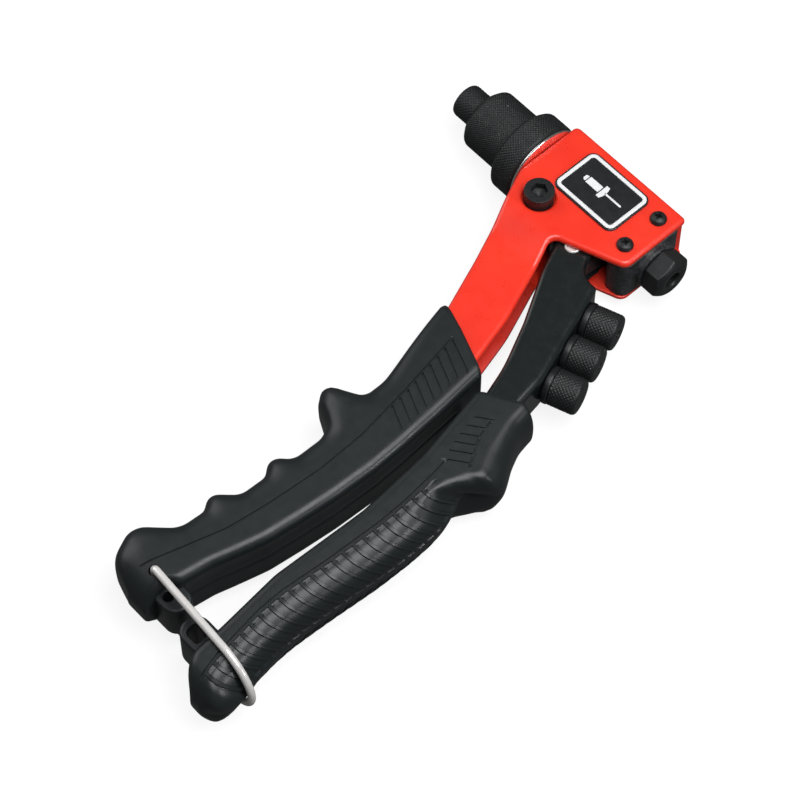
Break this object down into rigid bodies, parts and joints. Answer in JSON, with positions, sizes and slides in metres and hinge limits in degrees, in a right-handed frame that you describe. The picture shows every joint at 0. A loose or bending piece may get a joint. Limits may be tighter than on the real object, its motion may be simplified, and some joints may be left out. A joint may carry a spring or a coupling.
{
  "type": "hand riveter",
  "caption": "Lever-operated blind rivet tool with a knurled nose, plastic grips, spare nosepieces on the lever and a wire bail that holds it shut.",
  "frame": {"origin": "centre of the fitted nosepiece's front face", "axes": "+X out of the nose along the pulling axis, +Y towards the ends of the handles, +Z out of the badge side"},
  "size_m": [0.1179, 0.2227, 0.03],
  "materials": {
    "red_powder_coat": "glossy smooth powder coat",
    "black_lever_paint": "glossy black paint on pressed steel",
    "black_cast": "black sand-textured die casting",
    "black_oxide": "black oxide over turned and knurled steel",
    "grip_plastic": "satin moulded plastic with fine grain",
    "bright_steel": "nickel plated",
    "bare_steel": "turned steel, lightly oiled",
    "badge_black": "moulded badge, gloss black",
    "badge_white": "printed white line",
    "black_rubber": "black rubber ring"
  },
  "bodies": {
    "body": {"frame": "red_powder_coat", "head_block": "black_cast", "block_bolt": "black_oxide", "block_bolt_nut": "black_oxide", "block_screws": "black_oxide", "badge_plate": "badge_black", "badge_border": "badge_white", "spacer_washer": "bright_steel", "rear_cap": "black_oxide", "lever_pin": "bright_steel", "return_spring": "bare_steel", "front_grip": "grip_plastic"},
    "lever": {"lever": "black_lever_paint", "store_bar": "black_lever_paint", "store_rings": "black_rubber", "lever_grip": "grip_plastic"},
    "puller": {"jaw_case": "bare_steel", "jaw_spring": "bare_steel", "pull_rod": "bare_steel", "rod_lock_nut": "bare_steel", "pull_yoke": "bare_steel"},
    "jaw_set": {"jaws": "bare_steel", "jaw_pusher": "bare_steel"},
    "bail": {"bail": "bright_steel"},
    "lock_ring": {"lock_ring": "black_oxide"},
    "nose_sleeve": {"nose_sleeve": "black_oxide"},
    "nosepiece": {"nosepiece": "black_oxide"},
    "spare_nosepiece_1": {"spare_nosepiece_1": "black_oxide"},
    "spare_nosepiece_2": {"spare_nosepiece_2": "black_oxide"},
    "spare_nosepiece_3": {"spare_nosepiece_3": "black_oxide"}
  },
  "joints": [
    {"name": "lever_pivot", "type": "hinge", "parent": "body", "child": "lever", "pos_m": [-0.06965, 0.0182, 0], "axis": [0, 0, 1], "range_deg": [0, 26]},
    {"name": "pull_slide", "type": "slide", "parent": "body", "child": "puller", "axis": [1, 0, 0], "range_m": [0, 0.0084], "deforming": ["return_spring"]},
    {"name": "jaw_slide", "type": "slide", "parent": "puller", "child": "jaw_set", "axis": [-1, 0, 0], "range_m": [0, 0.0015], "deforming": ["jaw_spring"]},
    {"name": "bail_swing", "type": "hinge", "parent": "body", "child": "bail", "pos_m": [-0.0714, 0.1919, 0], "axis": [0, 0, 1], "range_deg": [0, 235], "deforming": ["bail"]},
    {"name": "lock_ring_turn", "type": "hinge", "parent": "body", "child": "lock_ring", "pos_m": [-0.032, 0, 0], "axis": [1, 0, 0], "continuous": true},
    {"name": "nose_sleeve_turn", "type": "hinge", "parent": "body", "child": "nose_sleeve", "pos_m": [-0.018, 0, 0], "axis": [1, 0, 0], "continuous": true},
    {"name": "nosepiece_turn", "type": "hinge", "parent": "nose_sleeve", "child": "nosepiece", "pos_m": [-0.005, 0, 0], "axis": [1, 0, 0], "continuous": true},
    {"name": "spare_nosepiece_1_turn", "type": "hinge", "parent": "lever", "child": "spare_nosepiece_1", "pos_m": [-0.0999, 0.0271, 0], "axis": [-0.9385, -0.3453, 0], "continuous": true},
    {"name": "spare_nosepiece_2_turn", "type": "hinge", "parent": "lever", "child": "spare_nosepiece_2", "pos_m": [-0.10449, 0.03958, 0], "axis": [-0.9385, -0.3453, 0], "continuous": true},
    {"name": "spare_nosepiece_3_turn", "type": "hinge", "parent": "lever", "child": "spare_nosepiece_3", "pos_m": [-0.10909, 0.05206, 0], "axis": [-0.9385, -0.3453, 0], "continuous": true}
  ],
  "couplings": [
    {"joint": "pull_slide", "follows": "lever_pivot", "m_per_rad": 0.0182},
    {"joint": "bail_swing", "follows": "lever_pivot", "ratio": 9}
  ]
}
